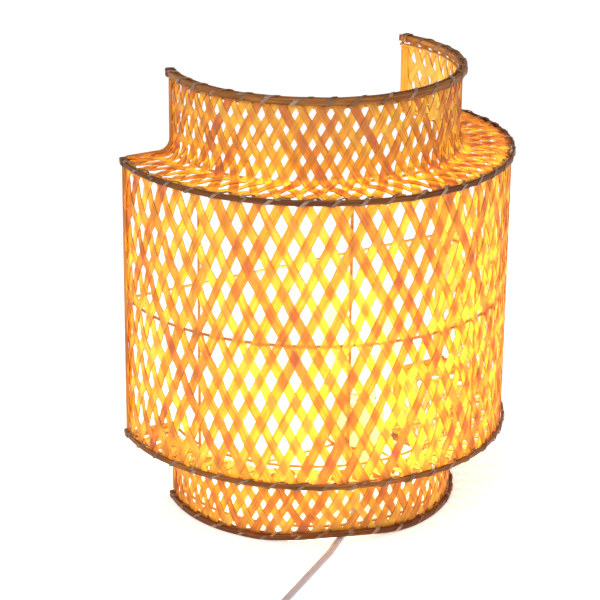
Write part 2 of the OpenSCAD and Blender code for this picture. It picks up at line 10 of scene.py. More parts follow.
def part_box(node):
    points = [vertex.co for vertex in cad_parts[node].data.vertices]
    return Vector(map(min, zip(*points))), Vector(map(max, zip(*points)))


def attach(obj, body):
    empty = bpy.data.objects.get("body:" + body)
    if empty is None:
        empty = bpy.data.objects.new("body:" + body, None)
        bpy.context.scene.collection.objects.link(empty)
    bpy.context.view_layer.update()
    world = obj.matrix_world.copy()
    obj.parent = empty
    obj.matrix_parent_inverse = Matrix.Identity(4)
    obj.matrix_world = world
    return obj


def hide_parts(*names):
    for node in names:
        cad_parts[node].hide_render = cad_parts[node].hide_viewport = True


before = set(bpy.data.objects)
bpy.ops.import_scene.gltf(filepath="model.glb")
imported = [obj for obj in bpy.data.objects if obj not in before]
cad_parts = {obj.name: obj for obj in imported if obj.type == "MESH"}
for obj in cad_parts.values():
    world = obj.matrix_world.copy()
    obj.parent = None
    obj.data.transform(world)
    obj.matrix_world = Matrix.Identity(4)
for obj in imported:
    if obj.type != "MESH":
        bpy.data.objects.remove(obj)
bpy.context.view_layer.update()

# Lengths are in mm and angles in degrees, unless a comment says otherwise. The lamp's drum
# bulges towards -Y, its open back faces +Y, and it stands on z = 0.
MM = 0.001
RNG = random.Random(7)                    # for the weave; the rims have seeds of their own
ANY_PHASE = (0, 6.28)


def new_object(name, data):
    ob = bpy.data.objects.new(name, data)
    bpy.context.scene.collection.objects.link(ob)
    return ob


# ---------------------------------------------------------------- camera

CAM_POS = Vector((-958.4, -1384.6, 803.6)) * MM
CAM_TARGET = Vector((0.0, 63.0, 182.5)) * MM
CAM_ROLL = math.radians(0.698)
CAM_LENS, CAM_SENSOR = 133.9, 36
CAM_SHIFT = (-0.0199, -0.0339)
CAM_CLIP = (0.05, 50)                     # metres


def make_camera():
    forward = (CAM_TARGET - CAM_POS).normalized()
    right = forward.cross(Vector((0, 0, 1))).normalized()
    up = right.cross(forward)
    c, s = math.cos(CAM_ROLL), math.sin(CAM_ROLL)
    right, up = right * c + up * s, up * c - right * s
    data = bpy.data.cameras.new("camera")
    data.lens = CAM_LENS
    data.sensor_width = CAM_SENSOR
    data.shift_x, data.shift_y = CAM_SHIFT
    data.clip_start, data.clip_end = CAM_CLIP
    cam = new_object("camera", data)
    m = Matrix((right, up, -forward)).transposed().to_4x4()
    m.translation = CAM_POS
    cam.matrix_world = m
    bpy.context.scene.camera = cam


make_camera()

# ---------------------------------------------------------------- the lead

CORD_D = 5.2
CORD_SIDES, CORD_STEP = 14, 2.5           # sides of a ring, and the way between two rings
CURVE_STEP = 0.5                          # of the curve before it is evened out
NEARLY_UP = (0.05, -0.02, 1.0)            # never parallel to the lead after its first points
FLOOR_Z = CORD_D / 2 + 0.1                # the lead's middle where it lies on the floor
# from the lampholder under the bottom rim and out of the picture
LEAD = [(0, -9, 31.85), (0, -9, 24), (-0.5, -9.5, 18.5), (-2.2, -11, 13.5), (-4.7, -13.2, 9),
        (-8, -16.2, 5.6), (-12, -20, 3.4), (-16.5, -24, FLOOR_Z), (-24, -30.6, FLOOR_Z),
        (-31, -37, FLOOR_Z), (-39, -43.6, FLOOR_Z), (-47, -50, FLOOR_Z), (-55.5, -57, FLOOR_Z),
        (-64, -63.6, FLOOR_Z), (-74, -70.4, FLOOR_Z), (-85, -77.6, FLOOR_Z), (-97, -85.6, FLOOR_Z),
        (-109, -93.6, FLOOR_Z), (-121, -101.6, FLOOR_Z), (-133, -109.6, FLOOR_Z),
        (-145, -117.7, FLOOR_Z), (-157, -125.8, FLOOR_Z), (-169, -133.9, FLOOR_Z),
        (-180, -141.3, FLOOR_Z), (-190, -148, FLOOR_Z)]
# from the coil to the switch, and from the switch to the plug
RUN = [(-182.8, -215.9, 7.9), (-170, -221.4, 6.2), (-158, -225.6, 3.9), (-148, -228, 3.6),
       (-136, -229, 6), (-124, -229, 8)]
TAIL = [(-62, -229, 8), (-53, -229, 6.8), (-44, -229.2, 4.9), (-33.4, -232, 3.4),
        (-25.6, -239.8, FLOOR_Z), (-22.6, -250.5, FLOOR_Z), (-25.6, -261.2, FLOOR_Z),
        (-33.4, -269, 3), (-44, -271.8, 4), (-54, -272, 5.8), (-66, -272, 7)]
COIL_AT = (-167, -182)
COIL_START = 124.0                        # the angle at which the lead joins the coil
COIL_R0, COIL_R_END, COIL_PITCH = 41.1, 37.4, 5.25
TURNS_DOWN, TURNS_ACROSS = 3.854, 0.333   # turns on the floor, and of the climb on top of them
COIL_POINTS = 40                          # for each turn


def smooth_step(k):
    return k * k * (3 - 2 * k)


def coil_points():
    """Turns of the coil: spiralling in on the floor, up, and out again on top."""
    inner = COIL_R0 - COIL_PITCH * TURNS_DOWN
    turns_up = (COIL_R_END - inner) / COIL_PITCH
    total = TURNS_DOWN + TURNS_ACROSS + turns_up
    n = int(total * COIL_POINTS)
    out = []
    for i in range(1, n):
        t = total * i / n
        angle = math.radians(COIL_START + 360 * t)
        if t < TURNS_DOWN:
            r, z = COIL_R0 - COIL_PITCH * t, FLOOR_Z
        elif t < TURNS_DOWN + TURNS_ACROSS:
            k = (t - TURNS_DOWN) / TURNS_ACROSS
            r, z = inner, FLOOR_Z + CORD_D * smooth_step(k)
        else:
            r, z = inner + COIL_PITCH * (t - TURNS_DOWN - TURNS_ACROSS), FLOOR_Z + CORD_D
        out.append((COIL_AT[0] + r * math.cos(angle), COIL_AT[1] + r * math.sin(angle), z))
    return out


def smooth_line(points):
    """Evenly spaced points of a Catmull-Rom curve through points, and its length."""
    p = np.array(points, float)
    p = np.vstack([2 * p[0] - p[1], p, 2 * p[-1] - p[-2]])
    fine = []
    for i in range(1, len(p) - 2):
        n = max(2, int(np.linalg.norm(p[i + 1] - p[i]) / CURVE_STEP))
        t = np.linspace(0, 1, n, endpoint=False)[:, None]
        a, b, c, d = p[i - 1], p[i], p[i + 1], p[i + 2]
        fine.append(0.5 * (2 * b + (c - a) * t + (2 * a - 5 * b + 4 * c - d) * t ** 2
                           + (3 * b - a - 3 * c + d) * t ** 3))
    fine.append(p[-2][None])
    fine = np.vstack(fine)
    run = np.concatenate([[0], np.cumsum(np.linalg.norm(np.diff(fine, axis=0), axis=1))])
    s = np.linspace(0, run[-1], int(run[-1] / CORD_STEP) + 1)
    return np.stack([np.interp(s, run, fine[:, k]) for k in range(3)], 1), run[-1]


def cord_mesh(line):
    """A round tube along line, closed at both ends."""
    way = np.gradient(line, axis=0)
    way /= np.linalg.norm(way, axis=1)[:, None]
    side = np.cross(way, NEARLY_UP)
    side[0] = side[1] = side[2]           # the lead starts straight down
    side /= np.linalg.norm(side, axis=1)[:, None]
    lift = np.cross(side, way)
    k = CORD_SIDES
    angles = np.arange(k) * 2 * math.pi / k
    ring = side[:, None] * np.cos(angles)[None, :, None] + lift[:, None] * np.sin(angles)[None, :, None]
    verts = (line[:, None] + ring * CORD_D / 2).reshape(-1, 3) * MM
    faces = [(i * k + j, i * k + (j + 1) % k, (i + 1) * k + (j + 1) % k, (i + 1) * k + j)
             for i in range(len(line) - 1) for j in range(k)]
    faces += [tuple(range(k - 1, -1, -1)), tuple((len(line) - 1) * k + j for j in range(k))]
    me = bpy.data.meshes.new("lead")
    me.from_pydata(verts.tolist(), [], faces)
    me.polygons.foreach_set("use_smooth", [True] * len(me.polygons))
    return me


def make_cord():
    line, length = smooth_line(LEAD + coil_points() + RUN + TAIL)
    ob = new_object("lead", cord_mesh(line))
    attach(ob, "lamp")
    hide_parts("cord_lead", "cord_coil", "cord_run", "cord_tail")
    return ob


CORD = make_cord()

# ---------------------------------------------------------------- materials


class Nodes:
    """A short way to write a material's nodes."""

    def __init__(self, name):
        self.mat = bpy.data.materials.new(name)
        self.mat.use_nodes = True
        self.nt = self.mat.node_tree
        self.nt.nodes.clear()

    def add(self, kind, **settings):
        """A new node; ins gives the values or links of its inputs, the rest its properties."""
        n = self.nt.nodes.new("ShaderNode" + kind)
        for k, v in settings.items():
            if k == "ins":
                for name, value in v.items():
                    self.set(n, name, value)
            else:
                setattr(n, k, v)
        return n

    def set(self, n, name, value):
        socket = n.inputs[name]
        if isinstance(value, bpy.types.NodeSocket):
            self.nt.links.new(value, socket)
        elif isinstance(value, bpy.types.Node):
            self.nt.links.new(value.outputs[0], socket)
        else:
            if hasattr(socket.default_value, "__len__") and len(socket.default_value) == 4 \
                    and len(value) == 3:
                value = (*value, 1)
            socket.default_value = value

    def ramp(self, factor, stops):
        n = self.add("ValToRGB")
        e = n.color_ramp.elements
        while len(e) < len(stops):
            e.new(0.5)
        for el, (at, col) in zip(e, stops):
            el.position = at
            el.color = (*col, 1)
        self.set(n, "Fac", factor)
        return n.outputs["Color"]

    def where(self, factor, stops):
        """A mask: stops are (position, 0 or 1)."""
        return self.ramp(factor, [(at, (on, on, on)) for at, on in stops])

    def noise(self, vector, scale, detail=3.0, rough=0.55):
        return self.add("TexNoise", ins={"Vector": vector, "Scale": scale, "Detail": detail,
                                         "Roughness": rough}).outputs["Fac"]

    def mapping(self, vector, scale):
        return self.add("Mapping", ins={"Vector": vector, "Scale": scale}).outputs["Vector"]

    def place(self):
        return self.add("TexCoord").outputs["Object"]

    def math(self, op, a, b=0.0):
        n = self.add("Math", operation=op)
        self.set(n, 0, a)
        self.set(n, 1, b)
        return n.outputs[0]

    def around(self, value, middle, spread):
        """A value from 0 to 1, made to spread about the middle."""
        return self.math("ADD", self.math("MULTIPLY", value, spread), middle - spread / 2)

    def mix(self, factor, a, b):
        n = self.add("Mix", data_type="RGBA", blend_type="MIX")
        for i, v in ((0, factor), (6, a), (7, b)):
            if isinstance(v, bpy.types.NodeSocket):
                self.nt.links.new(v, n.inputs[i])
            else:
                n.inputs[i].default_value = v if i == 0 else (*v, 1)
        return n.outputs[2]

    def bump(self, height, strength, distance):
        return self.add("Bump", ins={"Height": height, "Strength": strength,
                                     "Distance": distance}).outputs["Normal"]

    def out(self, shader):
        n = self.add("OutputMaterial")
        self.nt.links.new(shader.outputs[0], n.inputs["Surface"])
        return self.mat


def srgb(r, g, b):
    """Linear colour from 0 to 255 display values."""
    def linear(v):
        return v / 12.92 if v <= 0.04045 else ((v + 0.055) / 1.055) ** 2.4
    return tuple(linear(v / 255) for v in (r, g, b))


def shade(colour, k):
    return tuple(c * k for c in colour)


# UVs round a weave strip, in mm and the same for each width: inner face, side, outer face, side
FACE_V = [0, 7, 7.7, 14.7, 15.4]
# masks over them, as fractions of the last
INNER_FACE = [(0.44, 1), (0.45, 0)]
# the sides of a strip, and how much darker they are painted there, as painted shade
SIDES_PAINTED_SHADE_MASK = [(0.450, 0), (0.457, 1), (0.497, 1), (0.503, 0), (0.952, 0), (0.958, 1)]
SIDES_PAINTED_SHADE = 0.7
# the three noises of split bamboo: how fast they change along and across a strip
FIBRES, STREAKS, PATCHES = (0.035, 2.6, 1), (0.012, 0.42, 1), (0.03, 0.05, 1)
FIBRE_SHARE, STREAK_SHARE, PATCH_SHARE, TONE_SHARE = 0.55, 0.6, 0.4, 0.25
COLOUR_STOPS, GLOW_STOPS = (0.54, 0.7, 0.86), (0.56, 0.84)


def bamboo(name, colours, glows, share, sheen=0.25, inner=None):
    """Split bamboo: fibres along the strip from its UVs, and a tone of its own for each strip.

    colours are the dark, middle and light ones, glows the dark and light ones of the light
    that comes through, and share is how much of the surface lets it through. inner is the
    colour of the inner face, and only a weave strip, with UVs of FACE_V, has one."""
    n = Nodes(name)
    uv = n.add("UVMap", uv_map="along").outputs["UV"]
    fibre = n.noise(n.mapping(uv, FIBRES), scale=1.0, detail=5, rough=0.65)
    streaks = n.noise(n.mapping(uv, STREAKS), scale=1.0, detail=2, rough=0.5)
    patch = n.noise(n.mapping(uv, PATCHES), scale=1.0, detail=2, rough=0.5)
    tone = n.add("Attribute", attribute_name="tone").outputs["Fac"]
    mixed = n.math("ADD", n.math("MULTIPLY", fibre, FIBRE_SHARE),
                   n.math("MULTIPLY", tone, TONE_SHARE))
    mixed = n.math("ADD", mixed, n.math("MULTIPLY", streaks, STREAK_SHARE))
    mixed = n.math("ADD", mixed, n.math("MULTIPLY", n.math("SUBTRACT", patch, 0.5), PATCH_SHARE))
    colour = n.ramp(mixed, list(zip(COLOUR_STOPS, colours)))
    glow = n.ramp(mixed, list(zip(GLOW_STOPS, glows)))
    # a weave strip's sides are darkened in colour and in glow, as painted shade
    if inner:
        v = n.add("SeparateXYZ", ins={"Vector": uv}).outputs["Y"]
        across = n.math("MULTIPLY", v, 1 / FACE_V[-1])
        painted_side_shade = n.where(across, SIDES_PAINTED_SHADE_MASK)
        colour = n.mix(n.where(across, INNER_FACE), colour, inner)
        colour = n.mix(painted_side_shade, colour, shade(colours[0], SIDES_PAINTED_SHADE))
        glow = n.mix(painted_side_shade, glow, shade(glows[0], SIDES_PAINTED_SHADE))
    normal = n.bump(fibre, strength=0.4, distance=0.0003)
    body = n.add("BsdfPrincipled", ins={"Base Color": colour, "Roughness": 0.45,
                                        "Specular IOR Level": sheen, "Normal": normal})
    through = n.add("BsdfTranslucent", ins={"Color": glow, "Normal": normal})
    mix = n.add("MixShader", ins={"Fac": share})
    n.nt.links.new(body.outputs[0], mix.inputs[1])
    n.nt.links.new(through.outputs[0], mix.inputs[2])
    return n.out(mix)


def plastic(name, colour, rough, speck=0.04, bump=0.15, coat=0.0, lit=0.0):
    """speck is how much darker its blotches are; lit is a painted glow, emission that stands in for the
    lamp's light on and in the plastic.
    """
    n = Nodes(name)
    pos = n.place()
    grain = n.noise(pos, scale=900)
    tint = n.mix(n.noise(pos, scale=40, detail=2), shade(colour, 1 - speck), colour)
    return n.out(n.add("BsdfPrincipled", ins={
        "Base Color": tint, "Roughness": n.around(grain, rough, 0.1), "Coat Weight": coat,
        # lit sets a warm painted glow, not a lamp
        "Emission Color": (1.0, 0.84, 0.46, 1), "Emission Strength": lit,
        "Normal": n.bump(grain, bump, 0.0001)}))


def metal(name, colour, rough):
    n = Nodes(name)
    scratch = n.noise(n.mapping(n.place(), (300, 300, 2500)), scale=1.0)
    return n.out(n.add("BsdfPrincipled", ins={
        "Base Color": n.mix(scratch, shade(colour, 0.82), colour), "Metallic": 1.0,
        "Roughness": n.around(scratch, rough, 0.2),
        "Normal": n.bump(scratch, strength=0.1, distance=0.0001)}))


def wire_paint():
    n = Nodes("wire_paint")
    blot = n.noise(n.place(), scale=260, detail=4)
    tint = n.ramp(blot, [(0.3, srgb(176, 108, 40)), (0.7, srgb(220, 156, 70))])
    return n.out(n.add("BsdfPrincipled", ins={
        "Base Color": tint, "Roughness": 0.5,
        "Normal": n.bump(blot, strength=0.25, distance=0.0002)}))


def glowing(name, light, strength, base, clear=0.0):
    """Something lit from inside; clear lets what is behind it show through."""
    n = Nodes(name)
    tint = n.mix(n.noise(n.place(), scale=30, detail=2), shade(base, 0.94), base)
    return n.out(n.add("BsdfPrincipled", ins={
        "Base Color": tint, "Roughness": 0.42, "Emission Color": (*light, 1),
        "Emission Strength": strength, "Transmission Weight": clear, "IOR": 1.2}))


M_WEAVE = bamboo("bamboo", (srgb(204, 144, 112), srgb(230, 180, 92), srgb(250, 216, 126)),
                 ((0.82, 0.42, 0.022), (1.0, 0.83, 0.11)), share=0.6, inner=srgb(255, 228, 130))
M_EDGE = bamboo("bamboo_edge", (srgb(186, 132, 60), srgb(224, 176, 80), srgb(244, 206, 112)),
                ((1.0, 0.52, 0.02), (1.0, 0.84, 0.09)), share=0.55)
M_CANE = bamboo("dark_cane", (srgb(94, 50, 15), srgb(142, 84, 29), srgb(184, 122, 54)),
                ((0.9, 0.30, 0.03), (1.0, 0.42, 0.06)), share=0.12, sheen=0.3)
M_LASH = bamboo("lashing", (srgb(124, 92, 70), srgb(158, 128, 106), srgb(186, 162, 142)),
                ((0.9, 0.45, 0.12), (1.0, 0.6, 0.2)), share=0.2, sheen=0.4)
M_KNOT = bamboo("end_wrapping", (srgb(84, 52, 30), srgb(130, 88, 54), srgb(176, 132, 92)),
                ((0.7, 0.3, 0.05), (0.8, 0.4, 0.1)), share=0.08, sheen=0.4)
M_WIRE = wire_paint()
M_CORD = plastic("lead_sheath", srgb(190, 183, 192), 0.5)
# the holder gets a painted glow, standing in for the bulb's light falling on it
M_HOLDER_PAINTED_GLOW = plastic("holder_plastic", srgb(238, 234, 220), 0.5, lit=0.4)
M_CERAMIC = plastic("ceramic", srgb(224, 214, 194), 0.7, speck=0.1)
M_MOULD = plastic("moulded_plastic", srgb(238, 238, 236), 0.35, speck=0.03, bump=0.1, coat=0.2)
M_TIE = plastic("tie_plastic", srgb(34, 34, 36), 0.5)
M_BLACK = plastic("black_glass", srgb(12, 12, 14), 0.15, speck=0.1, bump=0.05)
M_BRASS = metal("brass", srgb(214, 176, 96), 0.3)
M_NICKEL = metal("nickel", srgb(196, 194, 190), 0.3)
M_BULB = glowing("lit_bulb", (1.0, 0.80, 0.36), 0.10, (1.0, 0.91, 0.68), clear=1.0)
M_FILAMENT = glowing("filament", (1.0, 0.9, 0.7), 150.0, (0.9, 0.8, 0.5))
M_STEM = plastic("stem_glass", srgb(220, 228, 228), 0.1)


def paint(ob, mat):
    ob.data.materials.clear()
    ob.data.materials.append(mat)


CAD_PAINT = {
    M_WIRE: ["top_ring", "upper_neck_ring", "upper_drum_ring", "middle_ring", "lower_drum_ring",
             "lower_neck_ring", "bottom_ring", "drum_ribs", "left_post", "right_post", "rear_bar",
             "lamp_carrier"],
    M_HOLDER_PAINTED_GLOW: ["holder_body", "holder_cap", "shade_ring", "cord_grip"],
    M_CERAMIC: ["contact_block"],
    M_BRASS: ["screw_shell", "centre_contact", "plug_pins"],
    M_NICKEL: ["bulb_cap", "bulb_tip", "switch_pin", "switch_screws"],
    M_BLACK: ["bulb_insulator"],
    M_BULB: ["bulb_glass"],
    M_STEM: ["bulb_stem"],
    M_FILAMENT: ["bulb_filament"],
    M_TIE: ["coil_tie"],
    M_MOULD: ["switch_top", "switch_base", "switch_rocker", "plug_body", "plug_relief"],
}
for mat, names in CAD_PAINT.items():
    for name in names:
        paint(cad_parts[name], mat)
paint(CORD, M_CORD)

# ---------------------------------------------------------------- shape of the shade

SHADE_H = 369.0
MID_Z = SHADE_H / 2
AXIS_Y = 62.9                     # the axis of the drum and of the collars
DRUM_R, COLLAR_R = 159.0, 117.5   # the middle of the weave
WEAVE_Y = 34.4                    # the weave ends this far behind the axis
SHOULDER_Z = MID_Z + 117.5
BEND, CORNER = 11.0, 3.0          # radii at the neck and at the drum's edge
RIM_GAP = 0.6                     # from the weave's end to the top of its rim
ROW_STEP = 2.5                    # between two points of the profile on its straight parts
NECK_POINTS, SHOULDER_POINTS, CORNER_POINTS = 12, 14, 7
# the low arch at the front of the bottom rim: angle, half its width and height
HUMP_A, HUMP_W, HUMP_H = -22.6, 75.0, 5.5
HUMP_TOP, HUMP_FADE = 32, 25      # it fades out over the last HUMP_FADE below HUMP_TOP
COLLAR_SLOPE = 0.549
# both directions of strips: degrees between two strips, where one stands at mid-height,
# its slope on the drum, and the extra turn that it takes on each shoulder
WEAVE = {1: dict(cell=6.69, first=0.37, slope=0.535, top=0.77, low=-1.95),
         -1: dict(cell=6.24, first=1.26, slope=0.472, top=0.94, low=-0.64)}


def profile():
    """The woven mid-surface from the top rim down: the way along it, and r, z, normal."""
    pts = [(COLLAR_R, z, 1, 0) for z in np.arange(SHADE_H - RIM_GAP, SHOULDER_Z + BEND, -ROW_STEP)]
    for a in np.radians(np.linspace(180, 270, NECK_POINTS)):
        pts.append((COLLAR_R + BEND + BEND * math.cos(a), SHOULDER_Z + BEND + BEND * math.sin(a),
                    -math.cos(a), -math.sin(a)))
    for r in np.linspace(COLLAR_R + BEND, DRUM_R - CORNER, SHOULDER_POINTS)[1:-1]:
        pts.append((r, SHOULDER_Z, 0, 1))
    for a in np.radians(np.linspace(90, 0, CORNER_POINTS)):
        pts.append((DRUM_R - CORNER + CORNER * math.cos(a), SHOULDER_Z - CORNER + CORNER * math.sin(a),
                    math.cos(a), math.sin(a)))
    for z in np.arange(SHOULDER_Z - CORNER - ROW_STEP, MID_Z, -ROW_STEP):
        pts.append((DRUM_R, z, 1, 0))
    half = np.array(pts)
    low = half[::-1].copy()
    low[:, 1] = SHADE_H - low[:, 1]
    low[:, 3] *= -1
    full = np.vstack([half, low])
    s = np.concatenate([[0], np.cumsum(np.hypot(*np.diff(full[:, :2], axis=0).T))])
    return s, full


PROF_S, PROF = profile()
S_END = PROF_S[-1]


def along_profile(s, column):
    return np.interp(s, PROF_S, PROF[:, column])


def turned(lean):
    """Degrees that a strip has turned round the shade at each point of the profile."""
    w = WEAVE[lean]
    r = (PROF[1:, 0] + PROF[:-1, 0]) / 2
    k = np.clip((r - COLLAR_R) / (DRUM_R - COLLAR_R), 0, 1)
    slope = COLLAR_SLOPE + (w["slope"] - COLLAR_SLOPE) * k
    phi = np.concatenate([[0], np.cumsum(np.diff(PROF_S) * np.degrees(slope / r))])
    phi = lean * (phi - phi[-1] / 2)
    flat = PROF_S[np.abs(PROF[:, 1] - SHOULDER_Z) < 0.01]
    t = smooth_step(np.clip((PROF_S - flat[0]) / (flat[-1] - flat[0]), 0, 1))
    return phi + w["top"] * (1 - t) + w["low"] * (1 - t[::-1])


TURN = {lean: turned(lean) for lean in (1, -1)}


def hump(theta, r):
    """How far the arch lifts a point of the bottom rim."""
    t = r * np.sin(np.radians(theta - HUMP_A))
    near = (np.abs(t) < HUMP_W) & (np.abs(theta - HUMP_A) < 90)
    return np.where(near, HUMP_H * (1 + np.cos(np.pi * t / HUMP_W)) / 2, 0.0)


def round_axis(theta, r, z):
    """Points in metres: theta is 0 at the front and grows towards +X."""
    a = np.radians(theta)
    return np.stack([r * np.sin(a), AXIS_Y - r * np.cos(a), z], -1) * MM


def place(s, theta, n):
    """Points of the shade: s along the profile, theta round it, n outwards from it."""
    s, theta, n = np.broadcast_arrays(np.asarray(s, float), np.asarray(theta, float),
                                      np.asarray(n, float))
    r, z, out_r, out_z = (along_profile(s, k) for k in range(4))
    length = np.maximum(np.hypot(out_r, out_z), 1e-6)
    r = r + n * out_r / length
    z = z + n * out_z / length
    low = np.clip((HUMP_TOP - z) / HUMP_FADE, 0, 1)
    return round_axis(theta, r, z + hump(theta, r) * smooth_step(low))


class Builder:
    """Collects quads with UVs and a tone for each, and makes one mesh of them."""

    def __init__(self):
        self.v, self.f, self.uv, self.tone = [], [], [], []
        self.count = 0

    def tube(self, rings, lengths, girth, tone):
        """rings: (m, k, 3) points; lengths: m distances along; girth: k + 1 distances around."""
        m, k = rings.shape[:2]
        base = self.count
        self.v.append(rings.reshape(-1, 3))
        self.count += m * k
        for i in range(m - 1):
            for j in range(k):
                j2 = (j + 1) % k
                self.f.append((base + i * k + j, base + i * k + j2,
                               base + (i + 1) * k + j2, base + (i + 1) * k + j))
                self.uv.append(((lengths[i], girth[j]), (lengths[i], girth[j + 1]),
                                (lengths[i + 1], girth[j + 1]), (lengths[i + 1], girth[j])))
                self.tone.append(tone)
        for ring, order in ((0, range(k - 1, -1, -1)), (m - 1, range(k))):
            self.f.append(tuple(base + ring * k + j for j in order))
            self.uv.append(tuple((lengths[ring], girth[j]) for j in order))
            self.tone.append(tone)

    def make(self, name, mat, cut_y=None, sharp=35):
        """The object: cut off behind y = cut_y, with edges above sharp degrees kept sharp."""
        me = bpy.data.meshes.new(name)
        me.from_pydata(np.vstack(self.v).tolist(), [], self.f)
        uv = me.uv_layers.new(name="along")
        uv.data.foreach_set("uv", np.array([c for f in self.uv for c in f]).ravel())
        tone = me.attributes.new("tone", "FLOAT", "FACE")
        tone.data.foreach_set("value", self.tone)
        if cut_y is not None:
            bm = bmesh.new()
            bm.from_mesh(me)
            bmesh.ops.bisect_plane(bm, geom=bm.verts[:] + bm.edges[:] + bm.faces[:],
                                   plane_co=(0, cut_y * MM, 0), plane_no=(0, 1, 0),
                                   clear_outer=True)
            bmesh.ops.holes_fill(bm, edges=[e for e in bm.edges if e.is_boundary], sides=0)
            bm.to_mesh(me)
            bm.free()
        me.polygons.foreach_set("use_smooth", [True] * len(me.polygons))
        me.set_sharp_from_angle(angle=math.radians(sharp))
        me.materials.append(mat)
        ob = new_object(name, me)
        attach(ob, "lamp")
        return ob


# ---------------------------------------------------------------- weave

STRIP_W, STRIP_T = 7.4, 0.7
WIDTH_RANGE = (0.86, 1.12)        # of single strips, as parts of STRIP_W
COLLAR_WIDTH, DRUM_EXTRA = 0.89, 0.11
WAVE_H, WAVE_FLAT = 0.52, 2.4     # how far a strip goes over and under, and how flat its tops are
MISPLACED = 0.25                  # degrees that a strip may be out of its place
SWAY, SWAY_LENGTH = 0.2, 47       # degrees that a strip bends to and fro on its way
SWELL, SWELL_LENGTH = 0.06, 31    # part of its width that comes and goes
HALF_ANGLE = 107                  # strips are made this far round, and cut at WEAVE_Y
GRAIN_SLOPE, GRAIN_SHIFT = 0.5, 173.0  # the grain's stretch, and its shift from strip to strip
STRIP_STEP = 3.0
S_STEPS = np.unique(np.round(np.concatenate([PROF_S, np.arange(0, S_END, STRIP_STEP)]), 2))


def place_in_row(lean, s, theta):
    """Which strip of this direction runs through a point, as a number with a fraction."""
    w = WEAVE[lean]
    return (theta - w["first"] - np.interp(s, PROF_S, TURN[lean])) / w["cell"]


def strip_family(name, lean):
    """All strips of one direction, each over and under those of the other one."""
    b = Builder()
    w = WEAVE[lean]
    turn = np.interp(S_STEPS, PROF_S, TURN[lean])
    r_all = along_profile(S_STEPS, 0)
    tilt = np.arctan(np.gradient(turn, S_STEPS) * np.pi / 180 * r_all)
    first = math.floor((-(HALF_ANGLE + 1) - turn.max()) / w["cell"])
    last = math.ceil((HALF_ANGLE + 1 - turn.min()) / w["cell"])
    for k in range(first, last + 1):
        start = w["first"] + k * w["cell"] + RNG.uniform(-MISPLACED, MISPLACED)
        width = STRIP_W * RNG.uniform(*WIDTH_RANGE)
        phase = RNG.uniform(*ANY_PHASE)
        tone = RNG.random()
        theta = start + turn + SWAY * np.sin(S_STEPS / SWAY_LENGTH + phase)
        idx = np.flatnonzero(np.abs(theta) < HALF_ANGLE)
        if len(idx) < 3:
            continue
        s, th, a, r = S_STEPS[idx], theta[idx], tilt[idx], r_all[idx]
        half = width * (1 + SWELL * np.sin(s / SWELL_LENGTH + 2 * phase)) / 2
        half = half * (COLLAR_WIDTH + DRUM_EXTRA * (r - COLLAR_R) / (DRUM_R - COLLAR_R))
        rings = []
        for side, up in ((-1, -1), (1, -1), (1, 1), (-1, 1)):
            lateral = side * half
            sv = np.clip(s - lateral * np.sin(a), 0, S_END)
            tv = th + np.degrees(lateral * np.cos(a) / r)
            other = place_in_row(-lean, sv, tv)
            high = np.tanh(WAVE_FLAT * np.cos(np.pi * (other - k))) / math.tanh(WAVE_FLAT)
            rings.append(place(sv, tv, lean * WAVE_H * high + up * STRIP_T / 2))
        along = s / np.cos(np.arctan(GRAIN_SLOPE)) + k * GRAIN_SHIFT
        b.tube(np.stack(rings, 1), along, FACE_V, tone)
    return b.make(name, M_WEAVE, cut_y=AXIS_Y + WEAVE_Y)


weave_a = strip_family("strips_leaning_right", 1)
weave_b = strip_family("strips_leaning_left", -1)
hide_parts("upper_collar", "upper_shoulder", "drum_weave")
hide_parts("lower_shoulder", "lower_collar")

# ---------------------------------------------------------------- rims and hoops

RIM_H = 5.4
BOTTOM_Z, BOTTOM_LASH_Z = 0.25, 1.1
OUT0, OUT1 = COLLAR_R + 1.15, COLLAR_R + 4.15      # radii of the outer bands
IN1, IN0 = COLLAR_R - 1.15, COLLAR_R - 2.75        # and of the inner ones
CANE0, CANE1 = DRUM_R + 1.15, DRUM_R + 3.35        # and of the hoops
HOOP_Z, HOOP_H = 115.5, 4.6                        # from MID_Z to a hoop's middle
HOOP_LASH_R, HOOP_LASH_Z = 157.0, SHOULDER_Z + 0.6
OUTLINE_STEPS = 3                                  # of each rounded corner
BAND_STEPS, BAND_Y = 200, 36.9                     # a band ends this far behind the axis
WOBBLE, FINE_WOBBLE = 0.12, 0.6                    # of a band, and of its finer waves as a part
WOBBLE_R, WOBBLE_Z = (9, 23), (7, 19)              # coarse and fine waves in a full turn
LASH_Y, LASH_BACK = 33.9, 3.0                      # lashing ends LASH_BACK degrees before LASH_Y
LASH_STEPS, LASH_WIDTHS, LASH_SHIFT = 36, (2.4, 3.8), 0.15
KNOT_Y, KNOT_BACK, KNOT_STEPS = 34.6, 1.2, 40      # and the end wrapping is KNOT_BACK before KNOT_Y
WRAP_SQUARE = 5                                    # how squarely a strip follows its outline


def rounded(r0, r1, z0, z1, bevel):
    """Outline of a bar with rounded corners, in (r, z)."""
    out = []
    for cr, cz, a0 in ((r1 - bevel, z1 - bevel, 0), (r0 + bevel, z1 - bevel, 90),
                       (r0 + bevel, z0 + bevel, 180), (r1 - bevel, z0 + bevel, 270)):
        for k in range(OUTLINE_STEPS + 1):
            a = math.radians(a0 + 90 * k / OUTLINE_STEPS)
            out.append((cr + bevel * math.cos(a), cz + bevel * math.sin(a)))
    return np.array(out)


def reach(r, y):
    """The angle at which a circle of radius r is y behind the axis."""
    return 90 + math.degrees(math.asin(y / r))


def girth_of(outline):
    """The way round an outline up to each of its points, and back to the first."""
    d = np.linalg.norm(np.roll(outline, -1, 0) - outline, axis=1)
    return np.concatenate([[0], np.cumsum(d)])


